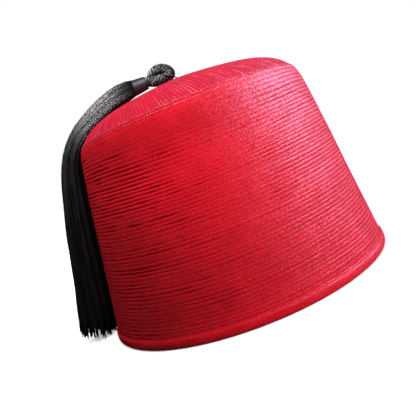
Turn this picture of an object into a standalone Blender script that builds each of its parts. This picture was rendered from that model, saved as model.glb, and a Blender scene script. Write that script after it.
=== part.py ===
"""Fez hat: a tapered cap of ribbed red velvet with a pleated, domed crown and a black tassel.

The cap stands on its rim. The origin is the centre of the head opening in the plane of the rim, +Z is up, and the
tassel hangs down the -X side. Lengths are in millimetres here and become metres where a mesh is made.
Run it with blender --background --python part.py, or from the text editor.
"""
import math

import bpy
import numpy as np
from mathutils import Matrix, Vector

MM = 0.001

# ---- the cap ----
RIM_RADIUS = 96.0          # outer radius at the rim
SEAM_RADIUS = 75.4         # outer radius where the side meets the crown
SEAM_HEIGHT = 124.0
CROWN_HEIGHT = 146.0       # top of the dome
CAP_LEAN = 0.030           # the soft cap leans this far towards +X for each millimetre of height
ROUND_STEPS = 30           # facets around the side and the hem

WALL_THICKNESS = 2.7       # velvet over its stiff backing
RIB_COUNT = 54             # sewn rows between the hem and the crown seam
RIB_DEPTH = 0.6            # from the crest of a rib to the stitch line between two

HEM_HEIGHT = 6.2
HEM_THICKNESS = 4.4
HEM_BULGE = 0.4            # how far the rolled hem stands out past the side
HEM_FOOT = 1.1             # how far the flat foot of the hem is set back from its sides

CROWN_THICKNESS = 2.2
GATHER_COUNT = 40          # main gathers of the crown, a groove and a crest each
GATHER_DEPTH = 0.6
SEAM_ALLOWANCE = 4.0       # length of the crown's edge turned down inside the wall
ALLOWANCE_THICKNESS = 1.2

PIECE_GAP = 0.7            # room left between neighbouring pieces, which have unlike facets

# Outside of the side, from the rim to the crown seam.
SIDE_OUTLINE = [
    # height, radius
    (0.0, RIM_RADIUS),
    (40.0, 90.1),
    (80.0, 84.4),
    (105.0, 80.4),
    (118.0, 77.9),
    (SEAM_HEIGHT, SEAM_RADIUS),
]

# Outside of the crown, from the seam to its centre.
CROWN_OUTLINE = [
    # height, radius
    (SEAM_HEIGHT, SEAM_RADIUS),
    (130.6, 68.8),
    (135.4, 60.0),
    (138.4, 49.0),
    (141.7, 32.0),
    (144.8, 14.0),
    (CROWN_HEIGHT, 0.0),
]

# Where the wall's inner rings lie, as shares of the way from the hem to the seam: closer where it turns in.
INNER_RINGS = [0.0, 0.40, 0.75, 0.88, 0.95, 1.0]

# Where the crown's rings lie, as shares of the way from the seam to the centre.
CROWN_RINGS = [0.03, 0.10, 0.20, 0.36, 0.62, 0.94]

# ---- the tassel, drawn in the XZ plane of the cap's left side ----
# The bundle doubled over into the knot: it comes out of the band, turns back over itself and ends above the band.
KNOT_ROUTE = [
    # x, z, half height, half width
    (-12.8, 151.4, 3.7, 4.3),
    (-11.4, 151.1, 3.7, 4.9),
    (-8.9, 149.9, 3.5, 5.6),
    (-5.2, 149.4, 3.4, 6.0),
    (-1.2, 150.2, 3.3, 6.1),
    (1.0, 152.9, 3.2, 6.1),
    (-0.9, 155.8, 3.3, 6.1),
    (-5.0, 156.7, 3.3, 5.9),
    (-9.1, 156.5, 2.5, 4.9),
    (-11.2, 156.2, 1.5, 3.4),
]

BAND_START = (-14.4, 151.4)        # x, z of the band's end at the knot
BAND_END = (-24.0, 151.0)
BAND_RADIUS = 5.1
BAND_LIP = 0.35                    # rounded lip at each end of the band

# The threads, from the band over the shoulder of the cap and down its side to the ground.
SKIRT_ROUTE = [
    # x, y, z, half thickness outwards, half thickness towards the cap, half width around the cap
    (-24.7, 0.0, 150.9, 5.2, 5.2, 5.4),
    (-30.0, 0.0, 150.4, 6.3, 6.2, 6.1),
    (-38.0, 0.0, 149.0, 6.8, 6.7, 6.6),
    (-49.8, 0.0, 144.9, 7.1, 6.7, 7.0),
    (-60.1, 0.0, 140.6, 6.6, 6.2, 7.2),
    (-68.4, 0.2, 136.0, 6.4, 5.8, 7.5),
    (-76.1, 0.5, 128.9, 6.6, 5.8, 8.0),
    (-81.4, 0.8, 121.2, 7.1, 6.2, 8.6),
    (-85.0, 1.1, 112.0, 8.2, 7.0, 9.4),
    (-88.1, 1.4, 101.0, 9.4, 7.8, 10.4),
    (-91.1, 1.7, 87.0, 11.0, 8.5, 11.4),
    (-94.1, 2.0, 72.0, 12.4, 8.9, 12.2),
    (-97.1, 2.2, 56.0, 13.3, 9.2, 13.0),
    (-100.1, 2.3, 40.0, 14.3, 9.4, 13.7),
    (-103.1, 2.4, 24.0, 15.7, 9.4, 14.4),
    (-106.1, 2.4, 8.0, 17.3, 8.9, 15.2),
]
LOCK_COUNT = 9
LOCK_DEPTH_AT_BAND = 0.05          # depth of the grooves between locks, as a share of the bundle's radius
LOCK_DEPTH_AT_TIPS = 0.26
POINTS_PER_LOCK = 4
SKIRT_STATIONS = 17
TIP_HEIGHTS = [0.6, 3.2, 1.0, 5.4, 0.8, 2.2, 6.0, 1.4, 4.0]    # height of each lock's end above the ground
TIP_HOLLOW = 9.0                   # how far the ends between the locks' tips are drawn up

TIE_RADIUS = 0.5
TIE_ROUTE = [
    # x, z
    (4.9, 151.6),
    (5.6, 150.7),
    (6.1, 148.9),
    (6.3, 146.4),
]

# name: colour (linear RGB), roughness
MATERIALS = {
    "red_velvet": ((0.56, 0.012, 0.03), 0.85),
    "red_hem": ((0.50, 0.010, 0.025), 0.85),
    "black_thread": ((0.012, 0.012, 0.014), 0.45),
}


def clear_scene():
    for old in list(bpy.data.objects):
        bpy.data.objects.remove(old, do_unlink=True)


def make_collection(name):
    collection = bpy.data.collections.new(name)
    bpy.context.scene.collection.children.link(collection)
    return collection


def make_material(name):
    color, roughness = MATERIALS[name]
    material = bpy.data.materials.new(name)
    material.use_nodes = True
    shader = material.node_tree.nodes["Principled BSDF"]
    shader.inputs["Base Color"].default_value = (*color, 1.0)
    shader.inputs["Roughness"].default_value = roughness
    shader.inputs["Metallic"].default_value = 0.0
    return material


def smooth_curve(points, per_span=12):
    """Points of a Catmull-Rom curve through the given rows, whatever number of columns they have."""
    rows = np.array(points, dtype=float)
    before = 2 * rows[0] - rows[1]
    after = 2 * rows[-1] - rows[-2]
    padded = np.vstack([before, rows, after])
    pieces = []
    for a, b, c, d in zip(padded[:-3], padded[1:-2], padded[2:-1], padded[3:]):
        t = np.linspace(0.0, 1.0, per_span, endpoint=False)[:, None]
        pieces.append(0.5 * (2 * b + (c - a) * t + (2 * a - 5 * b + 4 * c - d) * t**2
                             + (3 * b - a - 3 * c + d) * t**3))
    pieces.append(rows[-1:])
    return np.vstack(pieces)


def read_along(curve, shares, place_columns):
    """Rows of the curve at the given shares of its length, measured over its place columns."""
    steps = np.linalg.norm(np.diff(curve[:, :place_columns], axis=0), axis=1)
    length = np.concatenate([[0.0], np.cumsum(steps)])
    wanted = np.asarray(shares) * length[-1]
    return np.column_stack([np.interp(wanted, length, column) for column in curve.T])


def directions(curve):
    """Unit direction at every point of a curve."""
    slope = np.gradient(curve, axis=0)
    return slope / np.linalg.norm(slope, axis=1)[:, None]


def inward(outline):
    """Unit vectors from an outline of (height, radius) rows that climbs the cap, into its wall."""
    along = directions(outline)
    return np.column_stack([-along[:, 1], along[:, 0]]) * -1.0


def side_curve(bottom):
    """The side's outline from a height up to the crown seam, with its inward direction in two more columns."""
    curve = smooth_curve(SIDE_OUTLINE)
    heights = np.linspace(bottom, SEAM_HEIGHT, 200)
    outline = np.column_stack([heights, np.interp(heights, curve[:, 0], curve[:, 1])])
    return np.column_stack([outline, inward(outline)])


def sink(rows, depth):
    """Rows of (height, radius, inward direction) moved into the cap by a depth, given for all or for each."""
    return rows[:, :2] + rows[:, 2:] * np.broadcast_to(depth, len(rows))[:, None]


def lean_matrix():
    lean = Matrix.Identity(4)
    lean[0][2] = CAP_LEAN
    return lean


def add_object(name, mesh, collection, material):
    mesh.materials.clear()
    mesh.materials.append(material)
    part = bpy.data.objects.new(name, mesh)
    collection.objects.link(part)
    return part


def turn(name, profile, steps, collection, material):
    """A closed profile of (height, radius) rows turned around Z. It runs down the outside and up the inside."""
    points = [(radius * MM, 0.0, height * MM) for height, radius in profile]
    count = len(points)
    edges = [(i, (i + 1) % count) for i in range(count)]
    mesh = bpy.data.meshes.new(name)
    mesh.from_pydata(points, edges, [])
    part = add_object(name, mesh, collection, material)
    screw = part.modifiers.new("Turn", "SCREW")
    screw.axis = "Z"
    screw.angle = math.tau
    screw.steps = steps
    screw.render_steps = steps
    screw.use_merge_vertices = True
    screw.merge_threshold = 0.00005
    return part


def bake(part):
    """Replace an object's mesh by what its modifiers make of it."""
    bpy.context.view_layer.update()
    shape = part.evaluated_get(bpy.context.evaluated_depsgraph_get())
    mesh = bpy.data.meshes.new_from_object(shape)
    part.modifiers.clear()
    part.data = mesh


def loft(name, rings, start, end, collection, material):
    """Skin a run of rings with equal numbers of points and close both ends at a point."""
    count = len(rings[0])
    points = np.vstack([np.vstack(rings), [start, end]]) * MM
    faces = []
    for ring in range(len(rings) - 1):
        for i in range(count):
            j = (i + 1) % count
            low, high = ring * count, (ring + 1) * count
            faces.append((low + i, low + j, high + j, high + i))
    last = (len(rings) - 1) * count
    start_index, end_index = len(points) - 2, len(points) - 1
    for i in range(count):
        j = (i + 1) % count
        faces.append((start_index, j, i))
        faces.append((end_index, last + i, last + j))
    mesh = bpy.data.meshes.new(name)
    mesh.from_pydata([tuple(point) for point in points], [], faces)
    return add_object(name, mesh, collection, material)


def shade(part, angle):
    part.data.shade_smooth()
    part.data.set_sharp_from_angle(angle=math.radians(angle))


def make_side_wall(collection, material):
    """The ribbed side: a crest halfway along each sewn row, and a stitch line on both sides of it."""
    bottom = HEM_HEIGHT + PIECE_GAP
    curve = side_curve(bottom)
    stitch_and_crest = np.tile([RIB_DEPTH, 0.0], RIB_COUNT)
    outer = read_along(curve, np.linspace(0.0, 1.0, 2 * RIB_COUNT + 1), 2)
    outer = sink(outer, np.append(stitch_and_crest, RIB_DEPTH))
    inner = sink(read_along(curve, INNER_RINGS, 2), WALL_THICKNESS)
    outer[0, 0] = inner[0, 0] = bottom      # both edges of the cut lower end are level
    wall = turn("side_wall", np.vstack([outer[::-1], inner]), ROUND_STEPS, collection, material)
    bake(wall)
    wall.data.transform(lean_matrix())
    shade(wall, 25)


def make_rim_hem(collection, material):
    """The rolled hem: bulging sides, and a flat foot on which the cap stands."""
    outside = RIM_RADIUS
    inside = RIM_RADIUS - HEM_THICKNESS
    middle = HEM_HEIGHT / 2
    profile = [
        # height, radius
        (HEM_HEIGHT, outside - HEM_FOOT),
        (HEM_HEIGHT - 0.7, outside - 0.1),
        (middle, outside + HEM_BULGE),
        (1.0, outside + 0.1),
        (0.0, outside - HEM_FOOT),
        (0.0, inside + HEM_FOOT),
        (1.0, inside),
        (middle, inside - HEM_BULGE / 2),
        (HEM_HEIGHT - 0.7, inside),
        (HEM_HEIGHT, inside + 0.6),
    ]
    hem = turn("rim_hem", profile, ROUND_STEPS, collection, material)
    bake(hem)
    hem.data.transform(lean_matrix())
    shade(hem, 40)


def make_crown_top(collection, material):
    """The dome: gathered outside, smooth inside, its edge turned down inside the wall behind the seam."""
    outline = smooth_curve(CROWN_OUTLINE)
    dome = read_along(np.column_stack([outline, inward(outline)]), CROWN_RINGS, 2)
    outside = sink(dome, 0.0)
    inside = sink(dome, CROWN_THICKNESS)[1::2]

    # The edge rests on the wall's upper end with a gap, and the allowance runs down inside the wall.
    wall = read_along(side_curve(SEAM_HEIGHT - SEAM_ALLOWANCE), [0.0, 0.5, 1.0], 2)
    clear = WALL_THICKNESS + PIECE_GAP
    upwards = np.array([-wall[-1, 3], wall[-1, 2]]) * PIECE_GAP
    seat_out, seat_in = wall[-1, :2] + upwards, sink(wall[-1:], clear)[0] + upwards
    flap_out = sink(wall, clear)[1::-1]
    flap_in = sink(wall, clear + ALLOWANCE_THICKNESS)[::2]

    section = np.vstack([outside[::-1], seat_out, seat_in, flap_out, flap_in, inside])
    fade = np.interp(outside[::-1, 1], [10.0, 45.0, SEAM_RADIUS], [0.0, 0.7, 1.0])
    steps = 2 * GATHER_COUNT
    angle = np.arange(steps) * math.tau / steps
    groove = 0.5 - 0.5 * np.cos(GATHER_COUNT * angle)
    rings = []
    for index, (height, radius) in enumerate(section):
        depth = np.zeros(steps)
        if index < len(outside):
            depth = GATHER_DEPTH * fade[index] * groove
            into_height, into_radius = dome[::-1][index, 2:]
            height = height + depth * into_height
            radius = radius + depth * into_radius
        rings.append(np.column_stack([
            radius * np.cos(angle), radius * np.sin(angle), np.broadcast_to(height, steps)]))
    top = (0.0, 0.0, CROWN_HEIGHT)
    under = (0.0, 0.0, CROWN_HEIGHT - CROWN_THICKNESS)
    crown = loft("crown_top", rings, top, under, collection, material)
    crown.data.flip_normals()
    crown.data.transform(lean_matrix())
    shade(crown, 40)


def make_tassel_knot(collection, material):
    """The doubled bundle: an oval section carried along the turn-back route."""
    curve = smooth_curve(KNOT_ROUTE)
    rows = read_along(curve, np.linspace(0.0, 1.0, 15), 2)
    along = directions(rows[:, :2])
    angle = np.arange(12) * math.tau / 12
    rings = []
    for (x, z, half_height, half_width), (dx, dz) in zip(rows, along):
        across = half_height * np.sin(angle)
        rings.append(np.column_stack([x - dz * across, half_width * np.cos(angle), z + dx * across]))
    start = (rows[0, 0] - 0.3 * along[0, 0], 0.0, rows[0, 1] - 0.3 * along[0, 1])
    end = (rows[-1, 0] + 0.6 * along[-1, 0], 0.0, rows[-1, 1] + 0.6 * along[-1, 1])
    knot = loft("tassel_knot", rings, start, end, collection, material)
    shade(knot, 60)


def make_tassel_band(collection, material):
    """The wrapped band: a turned sleeve with a rounded lip at each end, laid along the tassel."""
    length = math.hypot(BAND_END[0] - BAND_START[0], BAND_END[1] - BAND_START[1])
    profile = [
        # height, radius
        (length, 0.0),
        (length, BAND_RADIUS - BAND_LIP),
        (length - BAND_LIP, BAND_RADIUS),
        (length - 3 * BAND_LIP, BAND_RADIUS - 0.5 * BAND_LIP),
        (3 * BAND_LIP, BAND_RADIUS - 0.5 * BAND_LIP),
        (BAND_LIP, BAND_RADIUS),
        (0.0, BAND_RADIUS - BAND_LIP),
        (0.0, 0.0),
    ]
    band = turn("tassel_band", profile, 16, collection, material)
    run = Vector((BAND_END[0] - BAND_START[0], 0.0, BAND_END[1] - BAND_START[1]))
    band.rotation_euler = run.to_track_quat("Z", "Y").to_euler()
    band.location = Vector((BAND_START[0], 0.0, BAND_START[1])) * MM
    bake(band)
    shade(band, 50)


def make_tassel_skirt(collection, material):
    """The threads as locks: a lobed oval carried along the route, its lobes deepening down to ragged tips."""
    curve = smooth_curve(SKIRT_ROUTE)
    rows = read_along(curve, np.linspace(0.0, 1.0, SKIRT_STATIONS), 3)
    along = directions(rows[:, :3])
    count = LOCK_COUNT * POINTS_PER_LOCK
    angle = -np.arange(count) * math.tau / count
    lobe = 0.5 - 0.5 * np.cos(LOCK_COUNT * angle)       # 0 in a groove, 1 on the crest of a lock
    rings = []
    for share, row, (dx, dy, dz) in zip(np.linspace(0.0, 1.0, SKIRT_STATIONS), rows, along):
        place, (outwards, towards, width) = row[:3], row[3:]
        depth = LOCK_DEPTH_AT_BAND + (LOCK_DEPTH_AT_TIPS - LOCK_DEPTH_AT_BAND) * share**1.5
        scale = 1.0 - depth * (1.0 - lobe)
        out = np.array([dz, 0.0, -dx]) / math.hypot(dx, dz)     # away from the cap
        sideways = np.array([0.0, 1.0, 0.0])
        reach = np.where(np.sin(angle) > 0, outwards, towards) * np.sin(angle) * scale
        spread = width * np.cos(angle) * scale
        rings.append(place + spread[:, None] * sideways + reach[:, None] * out)
    middle = rings[-1].mean(axis=0)
    tips = rings[-1].copy()
    tip_height = np.repeat(TIP_HEIGHTS, POINTS_PER_LOCK)
    tips[:, :2] = middle[:2] + (tips[:, :2] - middle[:2]) * 1.03
    tips[:, 2] = tip_height * lobe + (tip_height + TIP_HOLLOW * 0.5) * (1.0 - lobe)
    rings.append(tips)
    start = rows[0, :3] - 0.2 * along[0]
    end = middle + np.array([0.0, 0.0, TIP_HOLLOW])
    skirt = loft("tassel_skirt", rings, start, end, collection, material)
    shade(skirt, 60)


def make_tassel_tie(collection, material):
    """The thread that holds the knot to the crown, a fine round tube."""
    route = read_along(smooth_curve(TIE_ROUTE), np.linspace(0.0, 1.0, 9), 2)
    data = bpy.data.curves.new("tassel_tie", "CURVE")
    data.dimensions = "3D"
    data.bevel_depth = TIE_RADIUS * MM
    data.bevel_resolution = 2
    data.use_fill_caps = True
    spline = data.splines.new("POLY")
    spline.points.add(len(route) - 1)
    for point, (x, z) in zip(spline.points, route):
        point.co = (x * MM, 0.0, z * MM, 1.0)
    data.materials.append(material)
    tie = bpy.data.objects.new("tassel_tie", data)
    collection.objects.link(tie)


def main():
    clear_scene()
    collection = make_collection("fez_hat")
    velvet = make_material("red_velvet")
    hem_cloth = make_material("red_hem")
    thread = make_material("black_thread")
    make_side_wall(collection, velvet)
    make_rim_hem(collection, hem_cloth)
    make_crown_top(collection, velvet)
    make_tassel_knot(collection, thread)
    make_tassel_band(collection, thread)
    make_tassel_skirt(collection, thread)
    make_tassel_tie(collection, thread)


main()
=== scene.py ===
import math
import bpy
import numpy as np
from mathutils import Matrix, Vector


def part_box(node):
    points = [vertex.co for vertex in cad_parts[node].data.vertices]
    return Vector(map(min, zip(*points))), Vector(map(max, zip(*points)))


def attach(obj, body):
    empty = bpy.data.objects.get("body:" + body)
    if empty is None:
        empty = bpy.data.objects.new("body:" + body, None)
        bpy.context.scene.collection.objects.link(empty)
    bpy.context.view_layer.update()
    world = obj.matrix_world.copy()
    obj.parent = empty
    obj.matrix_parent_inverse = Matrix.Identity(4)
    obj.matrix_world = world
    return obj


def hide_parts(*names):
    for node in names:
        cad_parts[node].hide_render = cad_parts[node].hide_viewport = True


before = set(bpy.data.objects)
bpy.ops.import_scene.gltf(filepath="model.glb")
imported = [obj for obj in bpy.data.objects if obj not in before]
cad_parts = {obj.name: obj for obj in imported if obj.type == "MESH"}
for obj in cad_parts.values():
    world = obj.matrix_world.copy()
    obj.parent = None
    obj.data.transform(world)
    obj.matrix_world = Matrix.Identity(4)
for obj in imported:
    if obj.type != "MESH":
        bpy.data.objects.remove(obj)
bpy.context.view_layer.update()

mm = 0.001

# the photo's angle, fitted to the cap's outline; the roll tilts the standing cap as in the photo
cameraSet = {
    "distance": 338.0 * mm,     # in front of the cap's axis
    "height": 93.3 * mm,
    "yaw": -1.29,           # degrees
    "pitch": -6.10,
    "roll": -21.57,
    "focalPixels": 490.3,
    "imagePixels": 416,
    "sensor": 36.0,
}


def newObject(name, data):
    made = bpy.data.objects.new(name, data)
    bpy.context.scene.collection.objects.link(made)
    return made


def makeCamera(s):
    # three unit vectors from yaw and pitch, the last two of them turned about the first by the roll
    yaw, pitch, roll = (math.radians(s[k]) for k in ("yaw", "pitch", "roll"))
    ahead = np.array([math.sin(yaw) * math.cos(pitch), math.cos(yaw) * math.cos(pitch), math.sin(pitch)])
    right = np.array([math.cos(yaw), -math.sin(yaw), 0.0])
    up = np.cross(right, ahead)
    pose = np.eye(4)
    pose[:3, 0] = right * math.cos(roll) + up * math.sin(roll)
    pose[:3, 1] = up * math.cos(roll) - right * math.sin(roll)
    pose[:3, 2] = -ahead
    pose[:3, 3] = (0.0, -s["distance"], s["height"])
    data = bpy.data.cameras.new("photoCamera")
    data.sensor_width = s["sensor"]
    data.lens = s["focalPixels"] / s["imagePixels"] * s["sensor"]
    data.clip_start = 10 * mm
    camera = newObject("photoCamera", data)
    camera.matrix_world = Matrix(pose.tolist())
    bpy.context.scene.camera = camera


makeCamera(cameraSet)
print("camera set")


def aroundCircle(count):
    return np.arange(count) * math.tau / count


def setInputs(node, inputs):
    for key, value in inputs.items():
        node.inputs[key].default_value = value


def addNode(tree, kind, inputs=None, **settings):
    node = tree.nodes.new(kind)
    for key, value in settings.items():
        setattr(node, key, value)
    setInputs(node, inputs or {})
    return node


def ranged(tree, value, limits):
    # a value carried in a straight line from one range to another; a limit that isn't named is 0 or 1
    node = addNode(tree, "ShaderNodeMapRange", limits)
    tree.links.new(value, node.inputs["Value"])
    return node.outputs["Result"]


def combined(tree, operation, first, second):
    node = addNode(tree, "ShaderNodeMath", operation=operation)
    tree.links.new(first, node.inputs[0])
    tree.links.new(second, node.inputs[1])
    return node.outputs[0]


def mixedColor(tree, factor, low, high):
    # a colour between two others; the first may come out of another node
    node = addNode(tree, "ShaderNodeMix", {"B": (*high, 1)}, data_type="RGBA")
    tree.links.new(factor, node.inputs["Factor"])
    if isinstance(low, tuple):
        node.inputs["A"].default_value = (*low, 1)
    else:
        tree.links.new(low, node.inputs["A"])
    return node.outputs["Result"]


def newMaterial(name):
    material = bpy.data.materials.new(name)
    material.use_nodes = True
    return material, material.node_tree, material.node_tree.nodes["Principled BSDF"]


lampSet = {
    # azimuth and height in degrees, distance and size in metres, watts, colour, and what it lights
    "keyLamp": (-101.0, 59.0, 0.33, 0.15, 1.02, (1.0, 0.97, 0.97), "colour"),
    "rightLamp": (-40.0, 6.0, 0.75, 0.30, 5.5, (1.0, 0.97, 0.97), "colour"),
    "sideLamp": (-1.0, 28.5, 0.75, 0.55, 20.5, (0.47, 0.62, 1.0), "cap"),
    "archLamp": (-114.0, 44.0, 0.80, 0.22, 20.0, (0.98, 0.95, 1.0), "tassel"),
    "threadLamp": (138.0, 30.0, 1.00, 0.40, 14.0, (0.98, 0.95, 1.0), "tassel"),
    "farLamp": (60.0, 24.0, 1.00, 0.70, 5.0, (1.0, 0.98, 0.97), "colour"),
    "backLamp": (122.0, 20.0, 1.00, 0.60, 9.5, (1.0, 0.98, 0.97), "colour"),
}
aimHeight = 80 * mm             # where the lamps point, on the cap's axis
roomSet = {
    "floorRadius": 60.0,    # metres
    "floorCorners": 64,
    "floorRoughness": 0.9,
    "floorColor": (0.92, 0.92, 0.92),
    # whitens the floor in the picture, more from 0.14 to 0.40 m from the cap, and lights nothing
    "floorGlow": {"From Min": 0.14, "From Max": 0.40, "To Min": 0.40, "To Max": 1.0},
    "floorBounce": (0.04, 0.04, 0.04),      # what the floor throws back onto the cap
    "air": (1.0, 1.0, 1.0),
    "airStrength": 0.16,
    "backdropStrength": 1.0,
}
litPieces = {part: bpy.data.collections.new(part + "Pieces") for part in ("cap", "tassel")}


def makeLights(lamps):
    # round soft lamps that face the cap; each lights the colours alone, or the sheen of cloth or threads
    for name, (azimuth, height, distance, size, watts, color, lights) in lamps.items():
        data = bpy.data.lights.new(name, "AREA")
        data.energy, data.color = watts, color
        data.shape, data.size = "DISK", size
        lamp = newObject(name, data)
        a, h = math.radians(azimuth), math.radians(height)
        away = Vector((math.cos(a) * math.cos(h), math.sin(a) * math.cos(h), math.sin(h)))
        lamp.location = away * distance + Vector((0, 0, aimHeight))
        lamp.rotation_mode = "QUATERNION"
        lamp.rotation_quaternion = (-away).to_track_quat("-Z", "Y")
        lamp.visible_camera = False
        lamp.visible_glossy = lights != "colour"
        lamp.visible_diffuse = lights == "colour"
        if lights in litPieces:
            lamp.light_linking.receiver_collection = litPieces[lights]


def makeRoom(s):
    # a wide round floor and even air; the camera sees both whiter than they light the cap
    turn = aroundCircle(s["floorCorners"])
    rim = np.stack([np.cos(turn), np.sin(turn), np.zeros_like(turn)], -1) * s["floorRadius"]
    mesh = bpy.data.meshes.new("floor")
    mesh.from_pydata(rim.tolist(), [], [list(range(len(rim)))])
    floor = newObject("floor", mesh)
    paint, tree, shader = newMaterial("floorPaint")
    setInputs(shader, {"Roughness": s["floorRoughness"], "Specular IOR Level": 0.0})
    seen = addNode(tree, "ShaderNodeLightPath").outputs["Is Camera Ray"]
    tree.links.new(mixedColor(tree, seen, s["floorBounce"], s["floorColor"]), shader.inputs["Base Color"])
    coords = addNode(tree, "ShaderNodeTexCoord")
    away = addNode(tree, "ShaderNodeVectorMath", operation="LENGTH")
    tree.links.new(coords.outputs["Object"], away.inputs[0])
    glow = combined(tree, "MULTIPLY", seen, ranged(tree, away.outputs["Value"], s["floorGlow"]))
    tree.links.new(glow, shader.inputs["Emission Strength"])
    mesh.materials.append(paint)
    floor.visible_glossy = False
    world = bpy.data.worlds.new("studioAir")
    bpy.context.scene.world = world
    world.cycles_visibility.glossy = False
    world.use_nodes = True
    tree = world.node_tree
    air = tree.nodes["Background"]
    air.inputs["Color"].default_value = (*s["air"], 1)
    level = addNode(tree, "ShaderNodeMix", {"A": s["airStrength"], "B": s["backdropStrength"]})
    tree.links.new(addNode(tree, "ShaderNodeLightPath").outputs["Is Camera Ray"], level.inputs["Factor"])
    tree.links.new(level.outputs["Result"], air.inputs["Strength"])


makeLights(lampSet)
makeRoom(roomSet)
bpy.context.scene.view_settings.view_transform = "Standard"
print("light and floor set")


def smoothCurve(points, perSpan=12):
    # Catmull-Rom: each span is a cubic through its two ends, with slopes from the neighbours on both sides
    rows = np.array(points, float)
    padded = np.vstack([2 * rows[0] - rows[1], rows, 2 * rows[-1] - rows[-2]])
    a, b, c, d = (padded[i:len(padded) - 3 + i, None, :] for i in range(4))
    t = np.linspace(0, 1, perSpan, endpoint=False)[:, None]
    spans = 0.5 * (2 * b + (c - a) * t + (2 * a - 5 * b + 4 * c - d) * t**2 + (3 * b - a - 3 * c + d) * t**3)
    return np.vstack([spans.reshape(-1, rows.shape[1]), rows[-1:]])


def readAlong(curve, shares, placeColumns):
    # rows of a curve at shares of its length, the length being measured over its first columns
    steps = np.linalg.norm(np.diff(curve[:, :placeColumns], axis=0), axis=1)
    length = np.concatenate([[0], np.cumsum(steps)])
    wanted = np.asarray(shares, float) * length[-1]
    return np.stack([np.interp(wanted, length, column) for column in curve.T], -1)


def unit(vectors):
    return vectors / np.maximum(np.linalg.norm(vectors, axis=-1, keepdims=True), 1e-12)


def withInward(outline):
    # adds to an outline of (height, radius) the unit normal into the cloth: its slope turned by 90 degrees
    along = unit(np.gradient(outline, axis=0))
    return np.concatenate([outline, along[:, 1:], -along[:, :1]], -1)


def roundNoise(noise, rows, angle):
    # a random line for each row, closed around the cap: cosines of 1, 2 and more turns, each divided by
    # turns^fall; noise holds the seed, the most turns and the fall
    seed, waves, fall = noise
    rng = np.random.default_rng(seed)
    turns = np.arange(1, waves + 1)
    size = rng.normal(size=(rows, waves)) / turns**fall
    phase = rng.uniform(0, math.tau, (rows, waves))
    waving = np.cos(turns[:, None] * angle + phase[:, :, None])
    return np.einsum("rw,rwa->ra", size, waving) / np.sqrt((size**2).sum(1).mean() / 2)


def sheetNoise(noise, count, angle):
    # noise that is smooth from row to row too: a few lines, their number being last in noise, spread over all
    *lineNoise, few = noise
    lines = roundNoise(lineNoise, few, angle)
    at = np.linspace(0, few - 1, count)
    low = np.minimum(at.astype(int), few - 2)
    part = (at - low)[:, None]
    return lines[low] * (1 - part) + lines[low + 1] * part


def readTable(table, value):
    # the second column of a table at values of the first, straight from row to row
    return np.interp(value, *zip(*table))


def hump(value, at, wide):
    # 1 at a place, less to both sides of it: exp(-((value - at) / wide)^2)
    return np.exp(-((value - at) / wide) ** 2)


def humpAround(degrees, at, wide):
    # the same for a direction around the cap
    return hump((degrees - at + 180) % 360, 180, wide)


def varied(amounts, noise):
    # mean + spread * noise, kept between a least and a most
    mean, spread, least, most = amounts
    return np.clip(mean + spread * noise, least, most)


def meshFrom(name, verts, faceSets, material):
    # faceSets holds arrays of equal-sized faces, as rows of vertex numbers
    corners = np.concatenate([faces.ravel() for faces in faceSets]).astype(np.int32)
    sizes = np.concatenate([np.full(len(faces), faces.shape[1]) for faces in faceSets]).astype(np.int32)
    mesh = bpy.data.meshes.new(name)
    mesh.vertices.add(len(verts))
    mesh.vertices.foreach_set("co", verts.astype(np.float32).ravel())
    mesh.loops.add(len(corners))
    mesh.loops.foreach_set("vertex_index", corners)
    mesh.polygons.add(len(sizes))
    mesh.polygons.foreach_set("loop_start", (np.cumsum(sizes) - sizes).astype(np.int32))
    mesh.polygons.foreach_set("loop_total", sizes)
    mesh.update(calc_edges=True)
    mesh.shade_smooth()
    mesh.materials.append(material)
    return newObject(name, mesh)


def setValue(piece, key, field):
    # one number for each vertex, under a name that the material reads
    attribute = piece.data.attributes.new(key, "FLOAT", "POINT")
    attribute.data.foreach_set("value", np.asarray(field, np.float32).ravel())


def gridPiece(name, points, material, wrapRows=False, ends=None, values=None, uv=None):
    # points[row, column], closed around the columns; the rows close on each other, or on two pole points
    rows, cols = points.shape[:2]
    r = np.arange(rows if wrapRows else rows - 1)[:, None]
    c = np.arange(cols)
    right = (c + 1) % cols
    low, high = r * cols, (r + 1) % rows * cols
    quads = np.stack([low + c, low + right, high + right, high + c], -1).reshape(-1, 4)
    verts, faceSets = points.reshape(-1, 3), [quads]
    if ends is not None:
        last = (rows - 1) * cols
        first = np.full(cols, len(verts))
        faceSets.append(np.stack([first, right, c], -1))
        faceSets.append(np.stack([first + 1, last + c, last + right], -1))
        verts = np.vstack([verts, ends])
    piece = meshFrom(name, verts, faceSets, material)
    spare = len(verts) - rows * cols
    for key, value in (values or {}).items():
        setValue(piece, key, np.concatenate([np.ravel(value), np.full(spare, np.mean(value))]))
    if uv is not None:
        sheet = np.meshgrid(uv[0], uv[1][:len(r) + 1])      # one more column and row than there are quads
        corners = [np.stack([a[:-1, :-1], a[:-1, 1:], a[1:, 1:], a[1:, :-1]], -1) for a in sheet]
        flat = np.stack(corners, -1).reshape(-1, 2)
        rest = np.zeros((sum(faces.size for faces in faceSets[1:]), 2))
        layer = piece.data.uv_layers.new(name="UVMap")
        layer.data.foreach_set("uv", np.vstack([flat, rest]).astype(np.float32).ravel())
    return piece


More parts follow.
